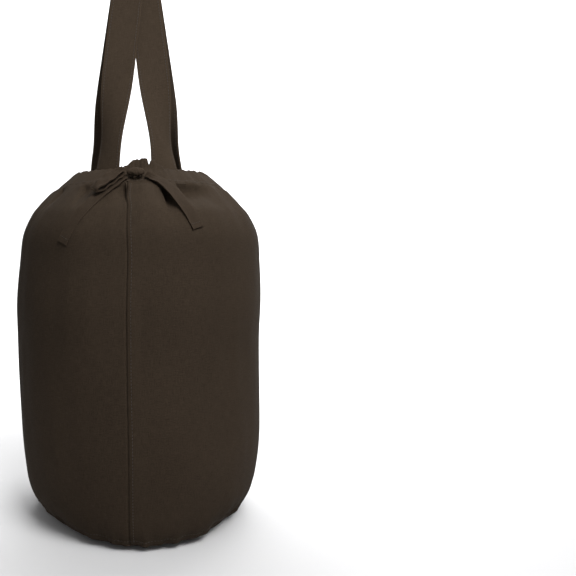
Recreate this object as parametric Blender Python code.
"""Round cloth carrier bag for a large bottle, closed with its drawstring and held up by its handles.

Metres, +Z up. Heights in the sizes are measured from the floor under the bag. The finished
pieces hang from an empty, so that the origin is where both handle tops are held.
"""

import math

import bpy
from mathutils import Vector

# Body of the bag
BODY_RADIUS = 0.1595
BASE_RADIUS = 0.140
MOUTH_RADIUS = 0.083
SEAM_HEIGHT = 0.013
FLANK_HEIGHT = 0.283
BAG_HEIGHT = 0.447
CLOTH_WALL = 0.0018
GAP = 0.0003

# Base
BASE_WALL = 0.002
BASE_FLAT_RADIUS = 0.112
PUCKER_HEIGHT = 0.0012
PUCKER_COUNT = 9
PUCKER_REACH = 0.045

# Casing, the folded hem that the drawstring runs in
CASING_DEPTH = 0.030
CASING_WALL = 0.0015
CHANNEL_WIDTH = 0.0034
CASING_LAP = 0.0025
RUFFLE_LEAN = 0.08
SLIT_AZIMUTH = math.radians(-3.5)
SLIT_WIDTH = 0.014
SLIT_HEIGHT = 0.017
SLIT_DROP = 0.0170

# Gathers drawn up by the string
GATHERS = 24
SEGMENTS_PER_GATHER = 4
GATHER_DEPTH = 0.0018
GATHER_REACH = 0.115
FOLD_DEPTH = 0.0075
FOLD_ONSET = 0.012

# Drawstring, a flat tape
TAPE_WIDTH = 0.0145
TAPE_THICKNESS = 0.0020
KNOT_WIDTH = 0.021
KNOT_HEIGHT = 0.014
KNOT_THICKNESS = 0.009
KNOT_DROP = 0.0205
KNOT_CLEARANCE = 0.0001
STRING_END_LIFT = 0.0030
BUNCHED_SHARE = 0.60
BUNCH_LENGTH = 0.018

# Handles, flat straps
STRAP_WIDTH = 0.039
STRAP_THICKNESS = 0.0026
HANG_HEIGHT = 0.755
HANDLE_OFFSET = -0.0064
FOLD_INNER_RADIUS = 0.0040
HANDLE_GAP = 0.0020
FOOT_DROP = 0.0045
FOOT_LENGTH = 0.024
FOOT_CLEARANCE = 0.0007
FOOT_PINCH = 0.86
FRONT_FOOT_SPREAD = 0.073
BACK_FOOT_SPREAD = 0.110
LEG_TURN = math.radians(41.0)
TURN_START = 0.040
TURN_LENGTH = 0.095

# Outline of the flank: height as a share of FLANK_HEIGHT, swell as a share of the way
# from BASE_RADIUS to BODY_RADIUS
FLANK_ROWS = (
    {"height": 0.151, "swell": 0.52},
    {"height": 0.392, "swell": 0.93},
    {"height": 0.817, "swell": 0.96},
    {"height": 1.00, "swell": 1.00},
)

# Outline of the shoulder: rise as a share of the height from the flank to the mouth, draw
# as a share of the way from BODY_RADIUS to MOUTH_RADIUS
SHOULDER_ROWS = (
    {"rise": 0.30, "draw": 0.045},
    {"rise": 0.51, "draw": 0.090},
    {"rise": 0.66, "draw": 0.230},
    {"rise": 0.74, "draw": 0.370},
    {"rise": 0.80, "draw": 0.500},
    {"rise": 0.86, "draw": 0.640},
    {"rise": 0.92, "draw": 0.800},
    {"rise": 1.00, "draw": 1.000},
)

# Large folds below the casing: azimuth and half width in degrees from the front, turning to
# the right; depth as a share of FOLD_DEPTH, out if positive; reach as a share of
# GATHER_REACH
FOLD_ROWS = (
    {"azimuth": -11.0, "half_width": 5.5, "depth": -0.75, "reach": 0.45},
    {"azimuth": 1.5, "half_width": 11.0, "depth": 0.55, "reach": 1.00},
    {"azimuth": 14.5, "half_width": 6.5, "depth": -1.00, "reach": 0.70},
    {"azimuth": 35.0, "half_width": 17.0, "depth": -0.70, "reach": 0.50},
    {"azimuth": 62.0, "half_width": 12.0, "depth": 0.35, "reach": 0.90},
    {"azimuth": 88.0, "half_width": 11.0, "depth": -0.35, "reach": 0.70},
    {"azimuth": 121.0, "half_width": 14.0, "depth": -0.60, "reach": 1.10},
    {"azimuth": 149.0, "half_width": 12.0, "depth": 0.45, "reach": 0.80},
    {"azimuth": 176.0, "half_width": 13.0, "depth": -0.80, "reach": 1.00},
    {"azimuth": 205.0, "half_width": 15.0, "depth": 0.40, "reach": 1.20},
    {"azimuth": 236.0, "half_width": 13.0, "depth": -0.55, "reach": 0.80},
    {"azimuth": 272.0, "half_width": 12.0, "depth": 0.25, "reach": 0.70},
    {"azimuth": 301.0, "half_width": 10.0, "depth": -0.35, "reach": 0.60},
    {"azimuth": 326.0, "half_width": 13.0, "depth": -0.45, "reach": 0.55},
)

# Section of the casing: along as a share of CASING_DEPTH down from the top of the hem,
# inward as a share of the casing's whole thickness, in order round the section
CASING_ROWS = (
    {"along": 1.00, "inward": 0.00},
    {"along": 0.55, "inward": -0.10},
    {"along": 0.14, "inward": 0.02},
    {"along": 0.00, "inward": 0.45},
    {"along": 0.14, "inward": 0.96},
    {"along": 0.85, "inward": 1.00},
)

# Height of the channel's roof, as a share of CASING_DEPTH down from the top of the hem
CHANNEL_TOP = 0.18

# The base seam's edge: how far it is pulled in and stands up, in metres, at each azimuth in
# degrees from the front
EDGE_ROWS = (
    {"azimuth": -180.0, "pull": 0.0, "rise": -0.0030},
    {"azimuth": -130.0, "pull": 0.0040, "rise": 0.0030},
    {"azimuth": -90.0, "pull": 0.0, "rise": 0.0},
    {"azimuth": -70.0, "pull": 0.0040, "rise": 0.0035},
    {"azimuth": -50.0, "pull": 0.0070, "rise": 0.0040},
    {"azimuth": -24.0, "pull": 0.0015, "rise": -0.0015},
    {"azimuth": 3.0, "pull": 0.0, "rise": -0.0050},
    {"azimuth": 28.0, "pull": 0.0015, "rise": -0.0015},
    {"azimuth": 53.0, "pull": 0.0070, "rise": 0.0040},
    {"azimuth": 72.0, "pull": 0.0040, "rise": 0.0035},
    {"azimuth": 90.0, "pull": 0.0, "rise": 0.0},
    {"azimuth": 135.0, "pull": 0.0035, "rise": 0.0025},
    {"azimuth": 180.0, "pull": 0.0, "rise": -0.0030},
)

# The cinched hem standing up at the front: rise above the mouth at each azimuth in degrees
RUFFLE_ROWS = (
    {"azimuth": -17.0, "rise": 0.0},
    {"azimuth": -11.0, "rise": 0.0050},
    {"azimuth": -6.0, "rise": 0.0112},
    {"azimuth": 4.0, "rise": 0.0122},
    {"azimuth": 9.0, "rise": 0.0105},
    {"azimuth": 14.0, "rise": 0.0062},
    {"azimuth": 21.0, "rise": 0.0},
)

# Routes of the free tape ends over the shoulder: azimuth in degrees, drop down the cloth
# from the top of the hem and lift of the tape's middle off it in metres, roll of the tape
# in degrees
LEFT_TAIL_ROUTE = (
    {"azimuth": -9.8, "drop": 0.0232, "lift": 0.0026, "roll": 6.0},
    {"azimuth": -13.0, "drop": 0.0285, "lift": 0.0018, "roll": 2.0},
    {"azimuth": -17.3, "drop": 0.0395, "lift": 0.0016, "roll": -2.0},
    {"azimuth": -21.8, "drop": 0.0545, "lift": 0.0014, "roll": 0.0},
    {"azimuth": -25.9, "drop": 0.0725, "lift": 0.0014, "roll": 4.0},
    {"azimuth": -29.7, "drop": 0.0900, "lift": 0.0013, "roll": 2.0},
    {"azimuth": -33.0, "drop": 0.1080, "lift": 0.0013, "roll": 0.0},
    {"azimuth": -34.8, "drop": 0.1190, "lift": 0.0016, "roll": 0.0},
)
RIGHT_TAIL_ROUTE = (
    {"azimuth": 3.2, "drop": 0.0215, "lift": 0.0036, "roll": 0.0},
    {"azimuth": 7.5, "drop": 0.0255, "lift": 0.0019, "roll": 4.0},
    {"azimuth": 12.3, "drop": 0.0335, "lift": 0.0025, "roll": 8.0},
    {"azimuth": 16.2, "drop": 0.0470, "lift": 0.0033, "roll": 4.0},
    {"azimuth": 19.3, "drop": 0.0650, "lift": 0.0025, "roll": 0.0},
    {"azimuth": 22.2, "drop": 0.0830, "lift": 0.0018, "roll": -3.0},
    {"azimuth": 24.7, "drop": 0.1020, "lift": 0.0018, "roll": 0.0},
)
LOOP_ROUTE = (
    {"azimuth": -11.6, "drop": 0.0205, "lift": 0.0063, "roll": 0.0},
    {"azimuth": -14.3, "drop": 0.0262, "lift": 0.0051, "roll": 0.0},
    {"azimuth": -18.5, "drop": 0.0370, "lift": 0.0047, "roll": 0.0},
    {"azimuth": -22.3, "drop": 0.0480, "lift": 0.0051, "roll": 0.0},
    {"azimuth": -24.4, "drop": 0.0535, "lift": 0.0077, "roll": 0.0},
    {"azimuth": -22.2, "drop": 0.0470, "lift": 0.0105, "roll": -2.0},
    {"azimuth": -18.3, "drop": 0.0350, "lift": 0.0101, "roll": -3.0},
    {"azimuth": -14.0, "drop": 0.0250, "lift": 0.0103, "roll": -2.0},
    {"azimuth": -11.0, "drop": 0.0190, "lift": 0.0105, "roll": 0.0},
)

CANVAS_DARK = (0.030, 0.021, 0.016, 1.0)
CANVAS_BASE = (0.026, 0.018, 0.014, 1.0)
CANVAS_HEM = (0.036, 0.026, 0.019, 1.0)
STRAP_BROWN = (0.047, 0.035, 0.024, 1.0)
TAPE_BROWN = (0.033, 0.023, 0.018, 1.0)
CLOTH_ROUGHNESS = 0.93

SEGMENTS = GATHERS * SEGMENTS_PER_GATHER
PROFILE_STEPS = 12
NORMAL_EASE = 0.006
PANEL_ROWS = 12
BASE_ROWS = 3
FOLD_STEPS = 8
FOOT_STEPS = 3
LEG_ROWS = 12
STRAP_COLUMNS = (-0.5, -0.17, 0.17, 0.5)
TAPE_STEPS = 4
TAPE_STEP = 0.004
KNOT_SEGMENTS = 14
KNOT_RINGS = 8
CASING_THICKNESS = 2.0 * CASING_WALL + CHANNEL_WIDTH


def remove_everything():
    """Empties the scene, so that a second run starts clean."""
    for found in list(bpy.data.objects):
        bpy.data.objects.remove(found, do_unlink=True)


def cloth(name, colour):
    """A matt woven cloth of one colour."""
    material = bpy.data.materials.new(name)
    material.use_nodes = True
    shader = material.node_tree.nodes["Principled BSDF"]
    shader.inputs["Base Color"].default_value = colour
    shader.inputs["Roughness"].default_value = CLOTH_ROUGHNESS
    shader.inputs["Metallic"].default_value = 0.0
    material.diffuse_color = colour
    return material


def smooth(share):
    """An eased step from 0 to 1."""
    share = min(1.0, max(0.0, share))
    return share * share * (3.0 - 2.0 * share)


def bump(distance, half_width):
    """A rounded hill, 1 in the middle and 0 from half_width on."""
    if abs(distance) >= half_width:
        return 0.0
    return 0.5 + 0.5 * math.cos(math.pi * distance / half_width)


def turn_between(angle, middle):
    """The signed angle from middle to angle, the short way round."""
    return (angle - middle + math.pi) % (2.0 * math.pi) - math.pi


def through(points, steps):
    """A smooth curve through points, as a list of vectors, steps to each stretch."""
    ends = [2.0 * points[0] - points[1], *points, 2.0 * points[-1] - points[-2]]
    curve = []
    for before, start, end, after in zip(ends, ends[1:], ends[2:], ends[3:]):
        for k in range(steps):
            t = k / steps
            curve.append(
                0.5
                * (
                    2.0 * start
                    + (end - before) * t
                    + (2.0 * before - 5.0 * start + 4.0 * end - after) * t**2
                    + (3.0 * start - before - 3.0 * end + after) * t**3
                )
            )
    curve.append(points[-1].copy())
    return curve


class Outline:
    """The bag's turned outline without its folds, followed down from the top of the hem."""

    def __init__(self):
        rows = [Vector((BASE_RADIUS, SEAM_HEIGHT))]
        for row in FLANK_ROWS:
            radius = BASE_RADIUS + (BODY_RADIUS - BASE_RADIUS) * row["swell"]
            rows.append(Vector((radius, FLANK_HEIGHT * row["height"])))
        for row in SHOULDER_ROWS:
            radius = BODY_RADIUS + (MOUTH_RADIUS - BODY_RADIUS) * row["draw"]
            rows.append(Vector((radius, FLANK_HEIGHT + (BAG_HEIGHT - FLANK_HEIGHT) * row["rise"])))
        self.points = through(rows, PROFILE_STEPS)[::-1]
        self.drops = [0.0]
        for a, b in zip(self.points, self.points[1:]):
            self.drops.append(self.drops[-1] + (b - a).length)
        self.length = self.drops[-1]

    def place(self, drop):
        """Radius and height at a drop, run on straight past the outline's ends."""
        k = 0
        while k < len(self.points) - 2 and self.drops[k + 1] < drop:
            k += 1
        share = (drop - self.drops[k]) / (self.drops[k + 1] - self.drops[k])
        return self.points[k] + (self.points[k + 1] - self.points[k]) * share

    def normal(self, drop):
        """The outward normal, eased over the small facets."""
        down = self.place(drop + NORMAL_EASE) - self.place(drop - NORMAL_EASE)
        down.normalize()
        return Vector((-down.y, down.x))


OUTLINE = Outline()


def gather_wave(azimuth):
    """The small gathers, uneven round the mouth, from -1 to 1."""
    uneven = 0.62 + 0.22 * math.sin(3.0 * azimuth + 0.7) + 0.16 * math.sin(7.0 * azimuth + 2.1)
    return uneven * math.sin(GATHERS * azimuth)


def fold_lift(azimuth, drop):
    """How far the folds carry the cloth out from the plain outline."""
    below = max(0.0, drop - CASING_DEPTH)
    lift = GATHER_DEPTH * gather_wave(azimuth) * (1.0 - smooth(below / GATHER_REACH))
    onset = smooth((below - CASING_LAP) / FOLD_ONSET)
    for row in FOLD_ROWS:
        away = turn_between(azimuth, math.radians(row["azimuth"]))
        across = bump(away, math.radians(row["half_width"]))
        fading = 1.0 - smooth(below / (GATHER_REACH * row["reach"]))
        lift += FOLD_DEPTH * row["depth"] * across * fading * onset
    return lift


def plain_skin(azimuth, drop, lift):
    """A point of the bag without folds: azimuth from the front to the right, drop down the
    cloth from the top of the hem, lift off it."""
    reach = OUTLINE.place(drop) + OUTLINE.normal(drop) * lift
    return Vector((reach.x * math.sin(azimuth), -reach.x * math.cos(azimuth), reach.y))


def skin(azimuth, drop, lift):
    """The same point with the folds."""
    return plain_skin(azimuth, drop, lift + fold_lift(azimuth, drop))


def slope_direction(azimuth, drop):
    """The direction straight down the plain outline."""
    down = plain_skin(azimuth, drop + NORMAL_EASE, 0.0) - plain_skin(azimuth, drop - NORMAL_EASE, 0.0)
    return down.normalized()


def outward_direction(azimuth, drop):
    """The direction straight out of the plain outline."""
    return (plain_skin(azimuth, drop, 1.0) - plain_skin(azimuth, drop, 0.0)).normalized()


def row_value(rows, key, azimuth):
    """A table's value at an azimuth, eased between its rows and 0 outside them."""
    at = math.degrees(turn_between(azimuth, 0.0))
    for a, b in zip(rows, rows[1:]):
        if a["azimuth"] <= at <= b["azimuth"]:
            share = smooth((at - a["azimuth"]) / (b["azimuth"] - a["azimuth"]))
            return a[key] + (b[key] - a[key]) * share
    return 0.0


def seam_shift(azimuth):
    """How far the base seam's edge is moved: pulled in, raised and puckered."""
    pucker = 0.6 * math.sin(PUCKER_COUNT * azimuth + 0.4)
    pucker += 0.4 * math.sin(2.0 * PUCKER_COUNT * azimuth + 1.9)
    pull = row_value(EDGE_ROWS, "pull", azimuth)
    rise = row_value(EDGE_ROWS, "rise", azimuth) + PUCKER_HEIGHT * pucker
    return Vector((-pull * math.sin(azimuth), pull * math.cos(azimuth), rise))


def ring_mesh(name, rings, material):
    """A solid from closed rings of equal count that follow each other round and meet again."""
    count = len(rings[0])
    points = [p for ring in rings for p in ring]
    faces = []
    for k in range(len(rings)):
        after = (k + 1) % len(rings)
        for i in range(count):
            j = (i + 1) % count
            faces.append((k * count + i, k * count + j, after * count + j, after * count + i))
    return new_object(name, points, faces, material)


def capped_mesh(name, rings, material):
    """A solid from rings of equal count along a route, closed at both ends."""
    count = len(rings[0])
    points = [p for ring in rings for p in ring]
    faces = [tuple(range(count)), tuple(range(len(points) - 1, len(points) - count - 1, -1))]
    for k in range(len(rings) - 1):
        for i in range(count):
            j = (i + 1) % count
            faces.append((k * count + j, k * count + i, (k + 1) * count + i, (k + 1) * count + j))
    return new_object(name, points, faces, material)


def new_object(name, points, faces, material):
    """A smooth shaded object with its faces turned outwards."""
    mesh = bpy.data.meshes.new(name)
    mesh.from_pydata([tuple(p) for p in points], [], faces)
    mesh.validate()
    mesh.update()
    if signed_volume(mesh) < 0.0:
        mesh.flip_normals()
    mesh.shade_smooth()
    mesh.set_sharp_from_angle(angle=math.radians(50.0))
    mesh.materials.append(material)
    made = bpy.data.objects.new(name, mesh)
    bpy.context.collection.objects.link(made)
    return made


def signed_volume(mesh):
    """Six times the volume that the faces enclose, negative if they point inwards."""
    total = 0.0
    for face in mesh.polygons:
        corners = [mesh.vertices[i].co for i in face.vertices]
        for b, c in zip(corners[1:], corners[2:]):
            total += corners[0].dot(b.cross(c))
    return total


def azimuths():
    """The angles that every turned piece of cloth has its points at."""
    return [2.0 * math.pi * i / SEGMENTS for i in range(SEGMENTS)]


def side_panel(material):
    """The cloth wall from the base seam to the casing, hollow and open at both ends."""
    top = CASING_DEPTH + CASING_LAP + GAP
    bottom = OUTLINE.length - GAP / 2.0
    drops = [CASING_DEPTH + GAP]
    for k in range(PANEL_ROWS + 1):
        drops.append(top + (bottom - top) * (0.5 - 0.5 * math.cos(math.pi * k / PANEL_ROWS)))
    rings = []
    for drop in drops:
        rings.append(panel_ring(drop, 0.0))
    for drop in reversed(drops):
        rings.append(panel_ring(drop, -CLOTH_WALL))
    return ring_mesh("side_panel", rings, material)


def panel_ring(drop, lift):
    """One ring of the side panel, with the base seam's puckers near its lower edge."""
    ring = []
    for azimuth in azimuths():
        ring.append(skin(azimuth, drop, lift) + seam_shift(azimuth) * seam_fade(drop))
    return ring


def seam_fade(drop):
    """1 at the base seam, fading up the wall."""
    return 1.0 - smooth((OUTLINE.length - drop) / PUCKER_REACH)


def base_panel(material):
    """The round cloth bottom, a shallow dish whose rim meets the side panel."""
    rim_outer = OUTLINE.place(OUTLINE.length) - Vector((0.0, GAP))
    rim_inner = rim_outer - OUTLINE.normal(OUTLINE.length) * BASE_WALL
    outer = dish_rows(rim_outer, 0.0)
    inner = dish_rows(rim_inner, BASE_WALL)
    points = [Vector((0.0, 0.0, 0.0))]
    for radius, height, share in [*outer, *inner[::-1]]:
        for azimuth in azimuths():
            point = Vector((radius * math.sin(azimuth), -radius * math.cos(azimuth), height))
            points.append(point + seam_shift(azimuth) * share)
    points.append(Vector((0.0, 0.0, BASE_WALL)))
    return new_object("base_panel", points, closed_faces(SEGMENTS, 2 * BASE_ROWS), material)


def dish_rows(rim, floor):
    """Radius, height and share of the way to the rim for each ring of the dish's turned-up edge."""
    rows = []
    for k in range(BASE_ROWS):
        share = k / (BASE_ROWS - 1)
        radius = BASE_FLAT_RADIUS + (rim.x - BASE_FLAT_RADIUS) * share
        rows.append((radius, floor + (rim.y - floor) * share**1.5, share))
    return rows


def closed_faces(count, rings):
    """Faces over a first point, rings of count points each and a last point."""
    last = rings * count + 1
    end = last - count
    faces = []
    for i in range(count):
        j = (i + 1) % count
        faces.append((0, 1 + j, 1 + i))
        faces.append((last, end + i, end + j))
        for k in range(rings - 1):
            a = 1 + k * count
            b = a + count
            faces.append((a + i, a + j, b + j, b + i))
    return faces


def ruffle(azimuth):
    """How far the cinched hem stands up above the mouth at an azimuth."""
    return row_value(RUFFLE_ROWS, "rise", azimuth)


def casing_section():
    """The casing's section as (drop, lift) pairs: outer leg, fold, inner leg, and back inside."""
    outside = [(CASING_DEPTH * r["along"], -CASING_THICKNESS * r["inward"]) for r in CASING_ROWS]
    lap = CASING_DEPTH + CASING_LAP
    lap_lift = -(CLOTH_WALL + GAP)
    inside = [
        (lap, lap_lift - CASING_WALL),
        (lap, lap_lift),
        (0.85 * CASING_DEPTH, -CASING_WALL - CHANNEL_WIDTH),
        (CHANNEL_TOP * CASING_DEPTH, -CASING_WALL - 0.9 * CHANNEL_WIDTH),
        (CHANNEL_TOP * CASING_DEPTH, -CASING_WALL),
        (CASING_DEPTH, -CASING_WALL),
    ]
    return outside + inside


def drawstring_casing(material):
    """The hem folded over into a channel, with the slit that the string comes out of."""
    rings = []
    for azimuth in azimuths():
        ring = []
        outward = Vector((math.sin(azimuth), -math.cos(azimuth), 0.0))
        for drop, lift in casing_section():
            standing = ruffle(azimuth) * max(0.0, 1.0 - drop / (CHANNEL_TOP * CASING_DEPTH))
            raised = Vector((0.0, 0.0, standing)) + outward * (standing * RUFFLE_LEAN)
            ring.append(skin(azimuth, drop, lift) + raised)
        rings.append(ring)
    casing = ring_mesh("drawstring_casing", rings, material)
    cut_slit(casing)
    return casing


def cut_slit(casing):
    """Cuts the slit through the outer leg of the casing only."""
    outward = outward_direction(SLIT_AZIMUTH, SLIT_DROP)
    inset = CASING_WALL + 0.4 * CHANNEL_WIDTH
    reach = SLIT_HEIGHT / 4.0
    bpy.ops.mesh.primitive_cube_add(size=1.0)
    cutter = bpy.context.object
    cutter.name = "slit_cutter"
    cutter.scale = (SLIT_WIDTH, SLIT_HEIGHT, inset + reach)
    cutter.rotation_mode = "QUATERNION"
    cutter.rotation_quaternion = outward.to_track_quat("Z", "Y")
    cutter.location = skin(SLIT_AZIMUTH, SLIT_DROP, 0.0) + outward * (reach - inset) / 2.0
    cutter.hide_render = True
    cutter.display_type = "WIRE"
    cut = casing.modifiers.new("slit", "BOOLEAN")
    cut.operation = "DIFFERENCE"
    cut.solver = "EXACT"
    cut.object = cutter


def drawstring_run(material):
    """The tape round the inside of the casing, both ends turned out through the slit."""
    middle_lift = -(CASING_WALL + CHANNEL_WIDTH / 2.0)
    radius = OUTLINE.place(SLIT_DROP).x
    half_slit = SLIT_WIDTH / 2.0 / radius
    end = (0.45 * half_slit, STRING_END_LIFT)
    turn = (0.50 * half_slit, 0.0)
    inside = (0.85 * half_slit, middle_lift)
    slit_fold = fold_lift(SLIT_AZIMUTH, SLIT_DROP)
    route = [end, turn, inside]
    for azimuth in azimuths():
        away = azimuth - SLIT_AZIMUTH
        if 1.6 * half_slit < away < 2.0 * math.pi - 1.6 * half_slit:
            route.append((away, middle_lift))
    for azimuth, lift in (inside, turn, end):
        route.append((2.0 * math.pi - azimuth, lift))
    rings = []
    last = len(route) - 1
    for k, (azimuth, lift) in enumerate(route):
        before = route[max(k - 1, 0)]
        after = route[min(k + 1, last)]
        along = Vector(((after[0] - before[0]) * radius, after[1] - before[1])).normalized()
        ring = []
        for side, face in ((-1.0, -1.0), (1.0, -1.0), (1.0, 1.0), (-1.0, 1.0)):
            half = face * TAPE_THICKNESS / 2.0
            drop = SLIT_DROP + side * TAPE_WIDTH / 2.0
            around = SLIT_AZIMUTH + azimuth - along.y * half / radius
            if lift < 0.0:
                ring.append(skin(around, drop, lift + along.x * half))
            else:
                ring.append(plain_skin(around, drop, slit_fold + lift + along.x * half))
        rings.append(ring)
    return capped_mesh("drawstring_run", rings, material)


def drawstring_knot(material):
    """The knot in front of the slit, a rounded lump wound by the tape."""
    middle = skin(SLIT_AZIMUTH, KNOT_DROP, STRING_END_LIFT + KNOT_CLEARANCE + KNOT_THICKNESS / 2.0)
    down = slope_direction(SLIT_AZIMUTH, KNOT_DROP)
    out = outward_direction(SLIT_AZIMUTH, KNOT_DROP)
    right = down.cross(out)
    points = [middle - right * (KNOT_WIDTH / 2.0)]
    for ring in range(1, KNOT_RINGS):
        polar = math.pi * ring / KNOT_RINGS
        for i in range(KNOT_SEGMENTS):
            around = 2.0 * math.pi * i / KNOT_SEGMENTS
            waist = 1.0 + 0.10 * math.cos(2.0 * polar) * math.cos(2.0 * around)
            spread = math.sin(polar) ** 0.7 * waist
            points.append(
                middle
                - right * (KNOT_WIDTH / 2.0 * math.cos(polar))
                + down * (KNOT_HEIGHT / 2.0 * spread * math.sin(around))
                + out * (KNOT_THICKNESS / 2.0 * spread * math.cos(around))
            )
    points.append(middle + right * (KNOT_WIDTH / 2.0))
    return new_object("drawstring_knot", points, closed_faces(KNOT_SEGMENTS, KNOT_RINGS - 1), material)


def resting_lift(azimuth, drop):
    """The highest fold under the tape's width, which the tape lies on."""
    reach = TAPE_WIDTH / 2.0
    across = reach / OUTLINE.place(drop).x
    lifts = []
    for i in (-1.0, -0.5, 0.0, 0.5, 1.0):
        for k in (-1.0, 0.0, 1.0):
            lifts.append(fold_lift(azimuth + across * i, drop + reach * k))
    return max(lifts)


def free_tape(name, route, narrow_ends, material):
    """A flat tape laid over the shoulder along its route, bunched where the knot holds it."""
    placed = []
    rolls = []
    for row in route:
        azimuth = math.radians(row["azimuth"])
        lift = row["lift"] + resting_lift(azimuth, row["drop"])
        placed.append(plain_skin(azimuth, row["drop"], lift))
        rolls.append(Vector((azimuth, row["drop"], math.radians(row["roll"]))))
    curve = through(placed, TAPE_STEPS)
    turned = through(rolls, TAPE_STEPS)
    rings = []
    last = len(curve) - 1
    for k, (centre, (azimuth, drop, roll)) in enumerate(zip(curve, turned)):
        along = (curve[min(k + 1, last)] - curve[max(k - 1, 0)]).normalized()
        out = outward_direction(azimuth, drop)
        flat = along.cross(out).normalized()
        across = flat * math.cos(roll) + out * math.sin(roll)
        face = across.cross(along).normalized() * (TAPE_THICKNESS / 2.0)
        away = k * TAPE_STEP
        if narrow_ends == 2:
            away = min(away, (last - k) * TAPE_STEP)
        width = BUNCHED_SHARE + (1.0 - BUNCHED_SHARE) * smooth(away / BUNCH_LENGTH)
        half = across * (TAPE_WIDTH / 2.0 * width)
        upper = [centre + half + face, centre - half + face]
        rings.append([*upper, centre - half - face, centre + half - face])
    return capped_mesh(name, rings, material)


def foot_point(azimuth, drop):
    """A point of the strap's middle where it is sewn inside the casing."""
    lift = -(CASING_THICKNESS + GATHER_DEPTH + FOOT_CLEARANCE + STRAP_THICKNESS / 2.0)
    return plain_skin(azimuth, drop, lift)


def strap_leg(azimuth, side, top):
    """Rows of points across one leg, from its sewn foot up to the fold; side is -1 on the left."""
    columns = [STRAP_WIDTH * share for share in STRAP_COLUMNS]
    rows = []
    radius = foot_point(0.0, FOOT_DROP).xy.length
    for k in range(FOOT_STEPS, -1, -1):
        drop = FOOT_DROP + FOOT_LENGTH * k / FOOT_STEPS
        rows.append([foot_point(side * azimuth + FOOT_PINCH * c / radius, drop) for c in columns])
    bend = foot_point(side * azimuth, FOOT_DROP)
    along = (top - bend).normalized()
    for k in range(1, LEG_ROWS + 1):
        centre = bend.lerp(top, k / LEG_ROWS)
        height = centre.z - bend.z
        fade = 1.0 - smooth((height - TURN_START) / TURN_LENGTH)
        turn = (azimuth + (LEG_TURN - azimuth) * smooth(height / TURN_START)) * fade
        pinch = 1.0 - (1.0 - FOOT_PINCH) * fade
        across = Vector((math.cos(turn), side * math.sin(turn), 0.0))
        across = (across - along * across.dot(along)).normalized()
        inward = Vector((-side * math.sin(turn), math.cos(turn), 0.0)) * (fade / (2.0 * radius))
        rows.append([centre + across * (c * pinch) + inward * c**2 for c in columns])
    return rows


def sheet_solid(name, rows, thickness, material):
    """A solid of even thickness round a grid of points."""
    rings = []
    for i, row in enumerate(rows):
        before = rows[max(i - 1, 0)]
        after = rows[min(i + 1, len(rows) - 1)]
        front = []
        back = []
        for k, point in enumerate(row):
            along = after[k] - before[k]
            across = row[min(k + 1, len(row) - 1)] - row[max(k - 1, 0)]
            normal = along.cross(across).normalized() * (thickness / 2.0)
            front.append(point + normal)
            back.append(point - normal)
        rings.append(front + back[::-1])
    return capped_mesh(name, rings, material)


def handle(name, spread, facing, material):
    """One strap: sewn foot, leg, flat fold over the top, leg and sewn foot."""
    radius = FOLD_INNER_RADIUS + STRAP_THICKNESS / 2.0
    fold_y = -(radius + STRAP_THICKNESS / 2.0 + HANDLE_GAP / 2.0)
    fold_z = HANG_HEIGHT - FOLD_INNER_RADIUS
    foot = foot_point(0.0, FOOT_DROP)
    lean = spread / 2.0 / (fold_z - foot.z)
    across_fold = lean * math.pi * radius / 2.0
    middle = HANDLE_OFFSET * math.cos(facing)
    legs = []
    for side in (-1.0, 1.0):
        azimuth = math.asin((spread / 2.0 + side * middle) / foot.xy.length)
        top = Vector((middle + side * across_fold, fold_y + side * radius, fold_z))
        legs.append(strap_leg(azimuth, side, top))
    fold = []
    for k in range(1, FOLD_STEPS):
        angle = math.pi * k / FOLD_STEPS
        centre = Vector((middle + across_fold * (2.0 * k / FOLD_STEPS - 1.0), fold_y, fold_z))
        centre += Vector((0.0, -radius * math.cos(angle), radius * math.sin(angle)))
        across = Vector((1.0, -lean * math.sin(angle), -lean * math.cos(angle)))
        fold.append([centre + across * (STRAP_WIDTH * share) for share in STRAP_COLUMNS])
    made = sheet_solid(name, legs[0] + fold + legs[1][::-1], STRAP_THICKNESS, material)
    made.rotation_euler.z = facing
    return made


def build():
    """Models every piece and hangs them all from the empty at the handle tops."""
    remove_everything()
    canvas = cloth("canvas_side", CANVAS_DARK)
    hem = cloth("canvas_hem", CANVAS_HEM)
    tape = cloth("canvas_tape", TAPE_BROWN)
    strap = cloth("canvas_strap", STRAP_BROWN)
    pieces = [
        side_panel(canvas),
        base_panel(cloth("canvas_base", CANVAS_BASE)),
        drawstring_casing(hem),
        drawstring_run(tape),
        drawstring_knot(tape.copy()),
        free_tape("drawstring_loop", LOOP_ROUTE, 2, tape.copy()),
        free_tape("drawstring_tail_left", LEFT_TAIL_ROUTE, 1, tape.copy()),
        free_tape("drawstring_tail_right", RIGHT_TAIL_ROUTE, 1, tape.copy()),
        handle("front_handle", FRONT_FOOT_SPREAD, 0.0, strap),
        handle("back_handle", BACK_FOOT_SPREAD, math.pi, strap.copy()),
    ]
    hanger = bpy.data.objects.new("hanger", None)
    bpy.context.collection.objects.link(hanger)
    hanger.location = (-HANDLE_OFFSET, 0.0, -HANG_HEIGHT)
    for piece in [*pieces, bpy.data.objects["slit_cutter"]]:
        piece.parent = hanger


build()
